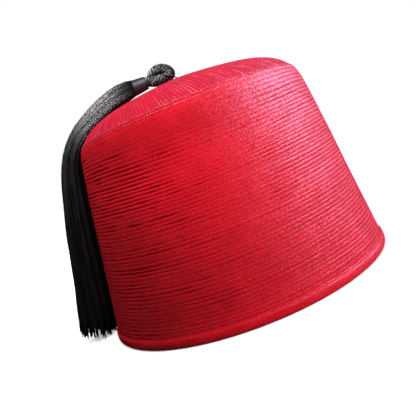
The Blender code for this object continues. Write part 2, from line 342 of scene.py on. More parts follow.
def threadPiece(name, lines, radius, material, tones, sides=3):
    # many closed threads at once: a regular polygon around each station of lines[thread, station]
    count, stations = lines.shape[:2]
    along = unit(np.gradient(lines, axis=1))
    first = unit(np.cross(along, (0.31, 0.86, 0.41)))       # oblique, so that few threads follow it
    second = np.cross(along, first)
    turn = aroundCircle(sides)[:, None]
    ring = (first[:, :, None] * np.cos(turn) + second[:, :, None] * np.sin(turn)) * radius
    verts = (lines[:, :, None] + ring).reshape(-1, 3)
    start = (np.arange(count) * stations * sides)[:, None, None]
    station = (np.arange(stations - 1) * sides)[:, None]
    k = np.arange(sides)
    a, b = start + station + k, start + station + (k + 1) % sides
    quads = np.stack([a, b, b + sides, a + sides], -1).reshape(-1, 4)
    lowCap = start[:, 0] + k[::-1]
    highCap = start[:, 0] + (stations - 1) * sides + k
    piece = meshFrom(name, verts, [quads, np.vstack([lowCap, highCap])], material)
    setValue(piece, "thread", np.broadcast_to(tones[..., None], (count, stations, sides)))
    return piece


def place(piece, slot, *nodes):
    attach(piece, "root")
    if nodes:
        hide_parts(*nodes)
    litPieces["tassel" if "thread" in slot else "cap"].objects.link(piece)


pileNoise = {
    "inputs": {"Vector": "Vector", "Cloth": "Vector", "Grain": "Float", "Patch": "Float", "Tufts": "Float"},
    "roughness": 0.65,
    "layers": {             # the inputs that each reads, the noise between which it rises, and its detail
        "Speckle": ("Vector", "Grain", 0.40, 0.62, 1.0),
        "Brushed": ("Vector", "Patch", 0.30, 0.70, 3.0),
        "Tufted": ("Cloth", "Tufts", 0.35, 0.65, 1.0),
    },
}


def makePileGroup(s):
    # short cut pile: fine grain, larger brushed patches, and tufts in fine lines across the sewn rows
    group = bpy.data.node_groups.new("cutPile", "ShaderNodeTree")
    for socket, kind in s["inputs"].items():
        group.interface.new_socket(socket, in_out="INPUT", socket_type="NodeSocket" + kind)
    for socket in (*s["layers"], "Height"):
        group.interface.new_socket(socket, in_out="OUTPUT", socket_type="NodeSocketFloat")
    ins = addNode(group, "NodeGroupInput").outputs
    layers = {}
    for name, (vector, scale, low, high, detail) in s["layers"].items():
        texture = addNode(group, "ShaderNodeTexNoise", {"Detail": detail, "Roughness": s["roughness"]})
        group.links.new(ins[vector], texture.inputs["Vector"])
        group.links.new(ins[scale], texture.inputs["Scale"])
        layers[name] = ranged(group, texture.outputs["Fac"], {"From Min": low, "From Max": high})
    layers["Height"] = combined(group, "ADD", layers["Speckle"], layers["Tufted"])
    outs = addNode(group, "NodeGroupOutput").inputs
    for name, value in layers.items():
        group.links.new(value, outs[name])
    return group


pileGroup = makePileGroup(pileNoise)


def addBump(tree, shader, height, s):
    bump = addNode(tree, "ShaderNodeBump", {"Strength": s["bump"], "Distance": s["bumpHeight"]})
    tree.links.new(height, bump.inputs["Height"])
    tree.links.new(bump.outputs["Normal"], shader.inputs["Normal"])


def velvet(name, s):
    # cut-pile cloth: painted shade in the stitch lines and grooves, a painted highlight on the pile's tips,
    # and painted shade or painted light in patches
    material, tree, shader = newMaterial(name)
    link = tree.links.new
    coords = addNode(tree, "ShaderNodeTexCoord")
    pile = addNode(tree, "ShaderNodeGroup", {"Grain": s["grain"], "Patch": s["patch"], "Tufts": s["tufts"]},
                   node_tree=pileGroup)
    link(coords.outputs["Object"], pile.inputs["Vector"])
    stretch = addNode(tree, "ShaderNodeMapping", {"Scale": (1.0, s["tuftStretch"], 1.0)})
    link(coords.outputs["UV"], stretch.inputs["Vector"])
    link(stretch.outputs["Vector"], pile.inputs["Cloth"])
    speckle, brushed = pile.outputs["Speckle"], pile.outputs["Brushed"]
    crest = addNode(tree, "ShaderNodeAttribute", attribute_name="crest").outputs["Fac"]
    paintedShade = addNode(tree, "ShaderNodeAttribute", attribute_name="paintedShade").outputs["Fac"]
    ridges = ranged(tree, crest, {"From Min": s["shineFrom"], "From Max": s["shineFull"]})

    # painted shade: the colour falls to the groove shade colour as the crest mask falls
    deep = mixedColor(tree, crest, s["grooveShadeColor"], s["color"])
    # painted highlight: a paler colour on the pile's tips, in grains along the crests
    tips = combined(tree, "MULTIPLY", speckle, pile.outputs["Tufted"])
    tipHighlightBy = combined(tree, "MULTIPLY", ranged(tree, tips, {"To Max": s["tipHighlightShare"]}), ridges)
    shadeBy = ranged(tree, brushed, {"To Min": 1 - s["patchDepth"], "To Max": 1 + s["patchDepth"]})
    toned = addNode(tree, "ShaderNodeVectorMath", operation="SCALE")
    link(mixedColor(tree, tipHighlightBy, deep, s["tipHighlightColor"]), toned.inputs[0])
    # painted shade where the patch value is above 0, painted light where it is below
    link(combined(tree, "SUBTRACT", shadeBy, paintedShade), toned.inputs["Scale"])
    link(toned.outputs[0], shader.inputs["Base Color"])
    addBump(tree, shader, pile.outputs["Height"], s)

    # the pile's tips shine: more on the crests, in grains, and more where the nap is brushed up
    grains = ranged(tree, speckle, {"To Min": s["shineBetween"]})
    nap = ranged(tree, brushed, {"To Min": s["shineLow"], "To Max": s["shine"]})
    tipShine = combined(tree, "MULTIPLY", grains, ridges)
    link(combined(tree, "MULTIPLY", tipShine, nap), shader.inputs["Coat Weight"])
    setInputs(shader, {"Coat Roughness": s["shineRoughness"], "Coat IOR": s["shineIndex"],
                       "Roughness": s["roughness"], "Specular IOR Level": s["specular"]})
    return material


def threadPaint(name, s):
    # silky dyed thread: each thread has its own colour and gloss, and is mottled along its length
    material, tree, shader = newMaterial(name)
    own = addNode(tree, "ShaderNodeAttribute", attribute_name="thread").outputs["Fac"]
    coords = addNode(tree, "ShaderNodeTexCoord")
    mottle = addNode(tree, "ShaderNodeTexNoise", {"Scale": s["grain"], "Detail": s["detail"]})
    tree.links.new(coords.outputs["Object"], mottle.inputs["Vector"])
    both = combined(tree, "MULTIPLY", own, mottle.outputs["Fac"])
    tree.links.new(mixedColor(tree, both, s["dark"], s["light"]), shader.inputs["Base Color"])
    limits = {"To Min": s["roughness"] + s["uneven"], "To Max": s["roughness"] - s["uneven"]}
    tree.links.new(ranged(tree, own, limits), shader.inputs["Roughness"])
    addBump(tree, shader, mottle.outputs["Fac"], s)
    setInputs(shader, {"Specular IOR Level": s["specular"], "IOR": s["index"]})
    return material


redPile = {
    "color": (0.60, 0.0050, 0.0140),
    "grooveShadeColor": (0.24, 0.0016, 0.0045),
    "tipHighlightColor": (0.64, 0.010, 0.028),
    "tipHighlightShare": 0.60,
    "grain": 1150.0,        # per metre
    "patch": 70.0,
    "patchDepth": 0.10,
    "tufts": 1000.0,
    "tuftStretch": 0.35,
    "bump": 0.38,
    "bumpHeight": 0.25 * mm,
    "roughness": 0.85,
    "specular": 0.06,
    "shine": 0.9,           # of the pile's tips, where the nap is brushed up
    "shineLow": 0.55,       # and where it is laid flat
    "shineBetween": 0.15,   # between the grains
    "shineFrom": 0.52,      # crest height from which the tips shine
    "shineFull": 0.95,      # and at which they do so fully
    "shineRoughness": 0.55,
    "shineIndex": 2.0,
}
sideVelvet = velvet("sideVelvet", redPile)
# painted shade: a darker red than the wall's velvet against the stronger light on top; painted sheen: pinker,
# with pink highlight streaks
crownVelvetShadeAndSheen = velvet("crownVelvetShadeAndSheen", {
    **redPile, "color": (0.41, 0.0125, 0.031), "grooveShadeColor": (0.365, 0.0095, 0.022),
    "tipHighlightColor": (0.70, 0.20, 0.33), "tipHighlightShare": 1.0, "shineFrom": 0.60, "shine": 0.62, "shineLow": 0.48})
hemVelvet = velvet("hemVelvet", {
    **redPile, "tipHighlightShare": 0.35, "patchDepth": 0.08, "shine": 0.7, "shineFrom": 0.3})
blackThread = {
    "dark": (0.0025, 0.0025, 0.0030),
    "light": (0.012, 0.012, 0.014),
    "grain": 900.0,         # per metre
    "detail": 2.0,
    "roughness": 0.32,
    "uneven": 0.12,         # how far the threads differ in roughness
    "bump": 0.15,
    "bumpHeight": 0.08 * mm,
    "specular": 0.5,
    "index": 1.5,
}
skirtThread = threadPaint("skirtThread", blackThread)
# painted light: the knot's threads are painted lighter and bluer than the skirt's black thread, for the light
# the knot catches
knotThreadPaintedLight = threadPaint("knotThreadPaintedLight", {
    **blackThread, "light": (0.088, 0.098, 0.12), "roughness": 0.42, "specular": 1.0})
bandThread = threadPaint("bandThread", {
    **blackThread, "light": (0.03, 0.03, 0.035), "roughness": 0.54, "uneven": 0.06})
# painted highlight: the stitches' pale pink stands in for light caught along the seam
seamHighlightThread = threadPaint("seamHighlightThread", {
    **blackThread, "dark": (0.58, 0.03, 0.06), "light": (0.92, 0.50, 0.66), "specular": 0.2,
    "roughness": 0.7, "uneven": 0.05})
print("materials made")

capShape = {
    "lean": 0.030,          # the soft cap leans towards +X, by this share of the height
    "sideOutline": [        # height, outer radius, in millimetres
        (0.0, 96.0),
        (40.0, 90.1),
        (80.0, 84.4),
        (105.0, 80.4),
        (118.0, 77.9),
        (124.0, 75.4),
    ],
    "crownOutline": [       # the same, from the seam to the centre
        (124.0, 75.4),
        (130.6, 68.8),
        (135.4, 60.0),
        (138.4, 49.0),
        (141.7, 32.0),
        (144.8, 14.0),
        (146.0, 0.0),
    ],
}
sideCurve = smoothCurve(capShape["sideOutline"])
crownCurve = smoothCurve(capShape["crownOutline"])
seamHeight, seamRadius = capShape["sideOutline"][-1]
crownHeight = capShape["crownOutline"][-1][0]
rimRadius = capShape["sideOutline"][0][1]
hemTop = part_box("rim_hem")[1][2] / mm


def onCap(height, radius, angle):
    # heights and radii in millimetres, turned around the leaning axis, in metres
    height, radius, angle = np.broadcast_arrays(height, radius, angle)
    x = radius * np.cos(angle) + capShape["lean"] * height
    return np.stack([x, radius * np.sin(angle), height], -1) * mm


def onOutline(rows, sink, angle):
    # places on rows of height, radius and inward normal, sunk along that normal
    return onCap(rows[..., 0] + rows[..., 2] * sink, rows[..., 1] + rows[..., 3] * sink, angle)


sideRows = {
    "count": 54,
    "samples": (0.0, 0.14, 0.36, 0.64, 0.86),   # where the grid rows cross each sewn row
    "lastSample": 0.03,     # the last of them, this much of a row below the seam
    "columns": 336,
    "outlineSteps": 400,
    "lowest": 5.2,          # height of the lower edge, tucked behind the hem
    "depth": 0.25,          # crest to stitch line, millimetres
    "depthLimits": (0.3, 2.6),
    "calmDepth": 0.55,      # the share of it where the lines are even
    "roundness": (0.42, 0.66),  # lower is flatter, with narrower stitch lines: calm side, broken side
    "calmLines": 0.75,      # how much more painted shade the even lines get, losing their tips' painted highlight
    "rowSpread": 0.03,      # how far the crests differ in height
    "rowNoise": (14, 9, 0.7),   # this and the others as in roundNoise and sheetNoise
    "calmAt": 10.0,         # degrees; the lines are even here and broken into dashes opposite
    "tightness": (0.12, 0.32),  # how unevenly the lines are drawn in: calm, broken
    "tightNoise": (11, 14, 0.6),
    "dashes": (0.7, 1.4),   # the noise from which a line is deeper, and how much of it counts
    "dashDepth": 1.5,
    "dashNoise": (12, 44, 0.3),
    "blotches": (0.95, 0.30, 0.2, 1.4),     # depth of the lines in larger areas, as in varied
    "blotchNoise": (17, 26, 0.25, 22),
    "dip": 4.6,             # how far the rows hang below level in front
    "dipAt": (-85.0, 46.0),     # degrees around, -90 being the front, and half width
    "dipByHeight": [(0, 0.0), (30, 0.30), (50, 0.45), (75, 0.6), (98, 1.0), (110, 0.9), (seamHeight, 0.0)],
    "wander": 0.30,         # how far the lines stray up and down together
    "wanderNoise": (15, 6, 0.8, 9),
    "ownWander": (0.07, 0.11),  # and each by itself: calm, broken
    "ownNoise": (16, 16, 0.5),
    "steadyRows": 3,        # from each edge, over which they begin to stray
    "atSeam": (4, 0.05, 0.9),   # grid rows that lie flat there, their sink and paleness
    "shadeDepth": 2.2,      # line depths at which the painted shade is darkest
    "shadePower": 1.5,
    "wallThickness": 2.6,
    "lining": 8,            # grid rows on the inner face
    "liningCrest": 0.8,
    "flatPatches": [        # where the rows are flat: degrees, height, half widths of both, how flat
        (-82, 75, 13, 62, 0.70),
        (-108, 117, 42, 7, 0.85),
        (-132, 98, 24, 12, -0.45),  # below 0 deepens the rows
        (-138, 20, 40, 24, 0.40),
        (-128, 61, 30, 7, 0.55),
        (-70, 24, 16, 14, 0.35),
        (40, 90, 24, 30, 0.6),
        (115, 50, 30, 26, 0.6),
    ],
    "paintedShadePatches": [        # painted shade, or below 0 painted light, in the same way
        (-72, 116, 42, 13, 0.18),
        (-124, 90, 28, 11, -0.26),
        (-108, 24, 46, 33, 0.23),
    ],
}


def makeSideWall(s):
    # each sewn row is a pillow: sink = depth * (1 - sin(pi t)^roundness), t running from line to line; depth
    # varies, so that some stretches are tight and some nearly flat
    heights = np.linspace(s["lowest"], seamHeight, s["outlineSteps"])
    outline = withInward(np.stack([heights, np.interp(heights, sideCurve[:, 0], sideCurve[:, 1])], -1))
    length = np.linalg.norm(np.diff(outline[:, :2], axis=0), axis=1).sum()
    count, stitchLines = s["count"], s["count"] + 1
    t = (np.arange(count)[:, None] + s["samples"]).ravel()
    t = np.append(t, [count - s["lastSample"], count])
    rowOf = np.minimum(t.astype(int), count - 1)
    lineOf = np.round(t).astype(int)
    level = s["lowest"] + (seamHeight - s["lowest"]) * t / count
    angle = aroundCircle(s["columns"]) - math.pi
    degrees = np.degrees(angle)
    broken = 0.5 + 0.5 * np.cos(np.radians(degrees - s["calmAt"] - 180))

    def bySide(key):
        calmValue, brokenValue = s[key]
        return calmValue * (1 - broken) + brokenValue * broken

    def patches(key):
        return np.array([share * humpAround(degrees, at, wide) * hump(level[:, None], height, tall)
                         for at, height, wide, tall, share in s[key]])

    pillow = np.abs(np.sin(math.pi * (t - np.floor(t))))[:, None] ** bySide("roundness")
    tight = 1 + bySide("tightness") * roundNoise(s["tightNoise"], stitchLines, angle)[lineOf]
    dashFrom, dashMost = s["dashes"]
    dashes = np.clip(roundNoise(s["dashNoise"], stitchLines, angle) - dashFrom, 0, dashMost)[lineOf]
    blotches = sheetNoise(s["blotchNoise"], stitchLines, angle)[lineOf]
    flat = (1 - patches("flatPatches")).prod(0)
    flat *= varied(s["blotches"], broken * blotches) * (s["calmDepth"] + (1 - s["calmDepth"]) * broken)
    lineDepth = s["depth"] * np.clip(tight + s["dashDepth"] * dashes * broken, *s["depthLimits"]) * flat
    crestHigh = s["rowSpread"] * roundNoise(s["rowNoise"], count, angle)[rowOf]
    sink = lineDepth * (1 - pillow) - crestHigh * pillow
    seamRows, seamSink, seamCrest = s["atSeam"]
    sink[-seamRows:] = seamSink

    drop = readTable(s["dipByHeight"], level)[:, None] * humpAround(degrees, *s["dipAt"])
    stray = s["wander"] * sheetNoise(s["wanderNoise"], len(t), angle)
    stray += bySide("ownWander") * roundNoise(s["ownNoise"], stitchLines, angle)[lineOf]
    ease = np.clip(np.minimum(t, count - t) / s["steadyRows"], 0, 1)[:, None]
    share = t[:, None] / count + (ease * stray - s["dip"] * drop) / length
    rows = readAlong(outline, share.ravel(), 2).reshape(*share.shape, 4)
    outer = onOutline(rows, sink, angle)

    inside = readAlong(outline, np.linspace(1, 0, s["lining"]), 2)
    inHeight = np.maximum(inside[:, :1] + inside[:, 2:3] * s["wallThickness"], s["lowest"])
    inner = onCap(inHeight, inside[:, 1:2] + inside[:, 3:] * s["wallThickness"], angle)
    # painted shade: the crest mask falls as a stitch line sinks, and further along the even lines
    crest = 1 - np.clip(sink / (s["depth"] * s["shadeDepth"]), 0, 1) ** s["shadePower"]
    crest -= s["calmLines"] * (1 - broken) * (1 - pillow) * flat
    crest[-seamRows:] = seamCrest
    crest = np.concatenate([crest, np.full(inner.shape[:2], s["liningCrest"])])
    # painted shade and painted light in the listed patches, none on the inner face
    paintedShade = np.concatenate([patches("paintedShadePatches").sum(0), np.zeros(inner.shape[:2])])
    around = (np.arange(s["columns"] + 1) * math.tau / s["columns"] - math.pi) * seamRadius * mm
    climb = np.append(t, count + 1 + np.arange(s["lining"] + 1)) * length * mm / count
    piece = gridPiece("sideWall", np.concatenate([outer, inner]), sideVelvet, wrapRows=True,
                      values={"crest": crest, "paintedShade": paintedShade}, uv=(around, climb))
    place(piece, "velvet_side", "side_wall")


makeSideWall(sideRows)
print("side wall made")

crownPleats = {
    "count": 204,
    "samples": 8,
    "rings": 30,
    "edgeRing": 0.0004,     # share of the way to the centre, at the wall's edge
    "ringSpan": (0.002, 0.979),     # of the other rings
    "ringPower": 1.4,       # higher is closer together near the seam
    "depth": 0.14,          # near the seam, millimetres
    "depthByRadius": [(6, 0.05), (25, 0.5), (60, 0.85), (73, 1.0), (75, 0.1)],
    "roundness": 0.6,
    "puff": 0.10,           # extra fullness of each pleat just above the seam
    "puffAt": (0.035, 0.025),   # share of the way to the centre, and half width
    "pleatDepth": (1, 0.35, 0.3, 1.9),      # from pleat to pleat, as in varied
    "swell": (1, 0.30, 0.2, 2.0),           # and on the way to the centre
    "swellNoise": (24, 40, 0.3, 8),
    "swirl": -0.42,         # radians that a pleat leans by on its way up
    "swirlPower": 1.3,
    "sway": 0.022,          # and wavers by
    "swayNoise": (25, 30, 0.3, 7),
    "thickness": 2.0,
    "allowance": 4.0,       # the edge turned down inside the wall
    "fold": [(0.05, 0.05), (0.5, 0.5), (0.6, 3.4)],     # its bend: below the seam, inside the seam
    "flap": (3.6, 4.6),     # its lower end's two corners, inside the wall's outline
    "underFold": (1.5, 4.9),    # below and inside the seam
    "underRings": (0.12, 0.35, 0.65, 0.96),     # shares of the way to the centre
    "crest": 0.64,          # how pale the pleats are
    "hiddenCrest": 0.6,
    # painted shade in the pleats' grooves
    "grooveShade": 0.3,
    "streak": 0.36,         # painted highlight: how much lighter the streaks along the folds are
    "streakWidth": (0.4, 4),    # higher values make them narrower
    "streakDepth": (0.65, 0.35, 0.1, 1),    # from pleat to pleat
    "streakSwell": (0.65, 0.8, 0.05, 1),    # and on the way to the centre
    "streakNoise": (26, 90, 0.1, 12),
    "streakByShare": [(0, 0.7), (0.05, 1.0), (0.45, 0.7), (0.8, 0.3)],
    "smooth": (-138, 46, 0.13, 0.26),   # painted light on the dome's left: degrees, half width, less crest there (less painted highlight and shine), painted lighter by
    "ringStep": 3.5,        # cloth from ring to ring, as the tufts see it
    "seed": 23,
}


def makeCrown(s):
    # the dome's outline turned; across a pleat the sink is depth * (1 - |sin(pi t)|^roundness), and it leans
    # sideways by swirl * share^swirlPower on its way from the seam to the centre
    outline = withInward(crownCurve)
    along = np.linspace(0, 1, s["rings"])[:, None]
    first, last = s["ringSpan"]
    shares = (first + (last - first) * along**s["ringPower"]).ravel()
    shares[0] = s["edgeRing"]
    rows = readAlong(outline, shares, 2)
    columns = s["count"] * s["samples"]
    angle = aroundCircle(columns)
    t = np.arange(columns) / s["samples"]
    pleatOf = t.astype(int)
    pleat = np.abs(np.sin(math.pi * t)) ** s["roundness"]

    rng = np.random.default_rng(s["seed"])
    size = s["depth"] * varied(s["pleatDepth"], rng.normal(size=s["count"]))[pleatOf]
    size = size * varied(s["swell"], sheetNoise(s["swellNoise"], s["rings"], angle))
    sink = size * readTable(s["depthByRadius"], rows[:, 1:2]) * (1 - pleat)
    sink -= s["puff"] * hump(shares[:, None], *s["puffAt"]) * pleat**2
    lean = s["swirl"] + s["sway"] * sheetNoise(s["swayNoise"], s["rings"], angle)
    turned = angle + lean * along**s["swirlPower"]
    outer = onOutline(rows[:, None], sink, turned)

    # hidden side: the edge turned down behind the seam, then the smooth underside of the dome
    lowHeight = seamHeight - s["allowance"]
    lowRadius = np.interp(lowHeight, sideCurve[:, 0], sideCurve[:, 1])
    lowEnd = [(lowHeight, lowRadius - inward) for inward in s["flap"]]
    under = readAlong(outline, s["underRings"], 2)
    under = under[:, :2] + under[:, 2:] * s["thickness"]
    seam = np.array([seamHeight, seamRadius])
    hidden = np.vstack([seam - s["fold"], lowEnd, seam - s["underFold"], under])
    inner = onCap(hidden[:, :1], hidden[:, 1:], angle)

    # a painted highlight: a pale streak along the fold of some pleats, coming and going on the way to the
    # centre
    cut, power = s["streakWidth"]
    fold = np.clip((1 + cut) * pleat**power - cut, 0, 1)
    streakHighlight = s["streak"] * varied(s["streakDepth"], rng.normal(size=s["count"]))[pleatOf]
    streakHighlight = streakHighlight * varied(s["streakSwell"], sheetNoise(s["streakNoise"], s["rings"], angle))
    # painted shade in the pleats' grooves
    crest = s["crest"] - s["grooveShade"] * sink / s["depth"] * (1 - pleat)
    # painted highlight streaks along the folds
    crest = np.clip(crest + fold * streakHighlight * readTable(s["streakByShare"], along), 0, 1)
    # painted light on the dome's left, where the painted highlight streaks and the shine are weaker
    at, wide, dull, paintedLightBy = s["smooth"]
    smooth = humpAround(np.degrees(turned), at, wide) * (1 - along)
    crest = np.concatenate([(crest - dull * smooth)[::-1], np.full(inner.shape[:2], s["hiddenCrest"])])
    paintedShade = np.concatenate([-paintedLightBy * smooth[::-1], np.zeros(inner.shape[:2])])
    grid = np.concatenate([outer[::-1], inner])
    poles = np.stack([onCap(crownHeight, 0, 0), onCap(crownHeight - s["thickness"], 0, 0)])
    around = np.arange(columns + 1) * math.tau / columns * seamRadius * mm
    climb = np.arange(len(grid) + 1) * s["ringStep"] * mm
    piece = gridPiece("crownTop", grid[:, ::-1], crownVelvetShadeAndSheen, ends=poles,
                      values={"crest": crest[:, ::-1], "paintedShade": paintedShade[:, ::-1]}, uv=(around, climb))
    place(piece, "velvet_crown", "crown_top")


makeCrown(crownPleats)

seamStitches = {
    "count": 270,
    "lines": [(0.6, 0.06), (-1.2, 0.08)],   # millimetres above the seam, how proud the thread stands
    "length": 1.3,
    "lengthLimits": (0.7, 1.15),
    "radius": 0.26,
    "stations": 4,
    "dive": 0.6,            # how deep its ends go, in radii
    "loose": 0.16,          # unevenness of their height, millimetres
    "uneven": 0.002,        # and of their place, radians
    "slant": 0.1,
    "paintedShadeAt": (-140, 50, 0.85),  # painted shade on the left, where the thread is darker: degrees, half width, how much
    "seed": 29,
}


def makeSeam(s):
    # two lines of short threads laid on the cap's outline, whose ends dip into the cloth by dive * station^2
    rng = np.random.default_rng(s["seed"])
    outline = withInward(np.vstack([sideCurve, crownCurve[1:]]))
    stations = np.linspace(-1, 1, s["stations"])
    at, wide, share = s["paintedShadeAt"]
    lines, tones = [], []
    for above, proud in s["lines"]:
        middle = aroundCircle(s["count"]) + rng.normal(0, s["uneven"], s["count"])
        half = s["length"] / 2 / seamRadius * rng.uniform(*s["lengthLimits"], s["count"])
        angle = middle[:, None] + half[:, None] * stations
        height = seamHeight + above + rng.normal(0, s["loose"], (s["count"], 1)) + s["slant"] * stations
        row = np.stack([np.interp(height, outline[:, 0], column) for column in outline.T], -1)
        sink = s["radius"] * s["dive"] * stations**2 - proud
        # painted shade: the stitches are darker on the cap's left
        tones.append(1 - share * humpAround(np.degrees(middle), at, wide))
        lines.append(onOutline(row, sink, angle))
    lines = np.concatenate(lines)
    tones = np.concatenate(tones)[:, None] * rng.random((len(lines), 1))
    place(threadPiece("seamStitches", lines, s["radius"] * mm, seamHighlightThread, tones), "velvet_crown")


makeSeam(seamStitches)
print("crown made")

hemRoll = {
    "columns": 360,
    "samples": 28,
    "thickness": 4.4,
    "bulge": 0.40,
    "squareness": 0.62,     # 1 is an oval section, lower is squarer
    "pucker": 0.10,         # small unevenness of the roll, millimetres
    "puckerNoise": (31, 60, 0.35),
    "foot": (0.8, 1.2),     # height without it, and over which it grows
    "edgeCrest": 0.3,       # crest at the upper and lower edges: painted shade there
    "ringStep": 0.7,        # cloth from ring to ring, as the tufts see it
}


def makeHem(s):
    # a superellipse turned around the rim: |cos|^squareness across and |sin|^squareness up, a little uneven
    angle = aroundCircle(s["columns"])
    around = math.pi / 2 - aroundCircle(s["samples"])
    across = np.sign(np.cos(around)) * np.abs(np.cos(around)) ** s["squareness"]
    up = hemTop / 2 * (1 + np.sign(np.sin(around)) * np.abs(np.sin(around)) ** s["squareness"])
    life = roundNoise(s["puckerNoise"], s["samples"], angle)
    life = s["pucker"] * (life + np.roll(life, 1, 0) + np.roll(life, -1, 0)) / 2
    flatTo, growOver = s["foot"]
    life *= np.clip((up - flatTo) / growOver, 0, 1)[:, None]
    middle = rimRadius - s["thickness"] / 2
    radius = middle + (across * (s["thickness"] / 2 + s["bulge"]))[:, None] + life
    grid = onCap(up[:, None], radius, angle)[::-1]
    # painted shade at the roll's upper and lower edges, none at its middle
    crest = s["edgeCrest"] + (1 - s["edgeCrest"]) * np.sqrt(np.sin(math.pi * np.clip(up / hemTop, 0, 1)))
    crest = np.broadcast_to(crest[::-1, None], grid.shape[:2])
    rim = np.arange(s["columns"] + 1) * math.tau / s["columns"] * rimRadius * mm
    piece = gridPiece("rimHem", grid, hemVelvet, wrapRows=True, values={"crest": crest},
                      uv=(rim, np.arange(len(grid) + 1) * s["ringStep"] * mm))
    place(piece, "velvet_hem", "rim_hem")


makeHem(hemRoll)
print("hem made")


def bundlePoint(rows, share, around, depth):
    # a place in a bundle of threads: the route's row at a share of its length, then an oval around it. Rows
    # hold x, y, z, half thickness outwards, half thickness towards the cap, and half width.
    stations = np.linspace(0, 1, len(rows))
    row = np.stack([np.interp(share, stations, column) for column in rows.T], -1)
    along = np.gradient(rows[:, :3], axis=0)
    heading = unit(np.stack([np.interp(share, stations, column) for column in along.T], -1))
    out = unit(np.stack([heading[..., 2], np.zeros_like(share), -heading[..., 0]], -1))
    thick = np.where(np.sin(around) > 0, row[..., 3], row[..., 4])
    spot = row[..., :3] + out * (thick * np.sin(around) * depth)[..., None]
    spot[..., 1] += row[..., 5] * np.cos(around) * depth
    return spot * mm


coreShadeTone = 0.1                  # painted shade: dark, as it lies behind the threads
anyPhase = (0, 6)               # radians at which a thread's waves start


def coreGrid(end, rings, sides):
    # shares of a bundle's route and directions around it
    return np.meshgrid(np.linspace(0, end, rings), -aroundCircle(sides), indexing="ij")


def corePiece(name, points, material):
    # the packed middle of a bundle, which keeps light from passing through it
    # painted shade: the core takes a dark thread tone
    return gridPiece(name, points, material, ends=np.stack([points[0].mean(0), points[-1].mean(0)]),
                     values={"thread": np.full(points.shape[:2], coreShadeTone)})


knotBundle = {
    "route": [              # x, z, half height, half width: out of the band, and back over itself to it
        (-16.4, 151.4, 3.5, 3.8),
        (-14.4, 151.5, 3.6, 4.2),
        (-12.8, 151.4, 3.7, 4.7),
        (-11.2, 151.0, 3.8, 5.2),
        (-8.8, 150.1, 3.9, 5.8),
        (-5.4, 149.4, 3.9, 6.2),
        (-1.6, 149.6, 3.8, 6.3),
        (1.9, 150.9, 3.5, 6.2),
        (1.4, 153.6, 3.2, 6.2),
        (-1.6, 155.7, 3.3, 6.3),
        (-5.2, 156.4, 3.4, 6.0),
        (-8.3, 155.9, 3.1, 5.5),
        (-10.7, 154.2, 2.7, 4.8),
        (-12.9, 152.6, 2.0, 4.0),
    ],
    "routeSteps": 90,
    "narrowing": [(0, 0.85), (0.08, 1.0), (0.95, 1.0), (1.0, 0.60)],    # of the bundle at its ends
    "strands": 8,           # twisted strands side by side around the bundle
    "threads": 14,          # in each strand
    "stations": 110,
    "radius": 0.30,
    "strandDepth": 0.84,    # share of the bundle's half thickness at which its line lies
    "strandHigh": 0.11,     # half a strand, as such a share
    "strandWide": 0.38,     # and around the bundle, radians
    "strandTurns": 4.0,     # turns of its threads from end to end
    "turnSpread": (0.85, 1.15),
    "offPlace": (-0.05, 0.05),  # how unevenly the strands start, radians
    "twist": 12.0,          # radians that the strands turn by from end to end
    "kink": 0.12,           # how far a strand wanders sideways, radians
    "kinkSpread": (0.5, 1.3),
    "kinkWaves": (38, 62),  # radians of its waves from end to end
    "rise": 0.035,          # how far it wanders up and down
    "riseWaves": (30, 55),
    "hairs": 90,
    "hairRadius": 0.075,
    "hairStations": 7,
    "hairFoot": (0.14, 0.97),   # shares of the route where they start
    "hairDrift": (0.045, 0.5),  # how far they run along and around it
    "hairDepth": 0.93,      # the share at which they start
    "hairLift": (0.06, 0.26),   # and how far they come off
    "hairPower": 1.3,       # higher keeps them down for longer
    "core": (1.0, 60, 48),  # its end on the route, rings, sides
    "coreDepth": 0.82,
    "coreNarrowing": [(0, 0.8), (0.08, 1.0), (0.95, 1.0), (1.0, 0.5)],
    "seed": 51,
}


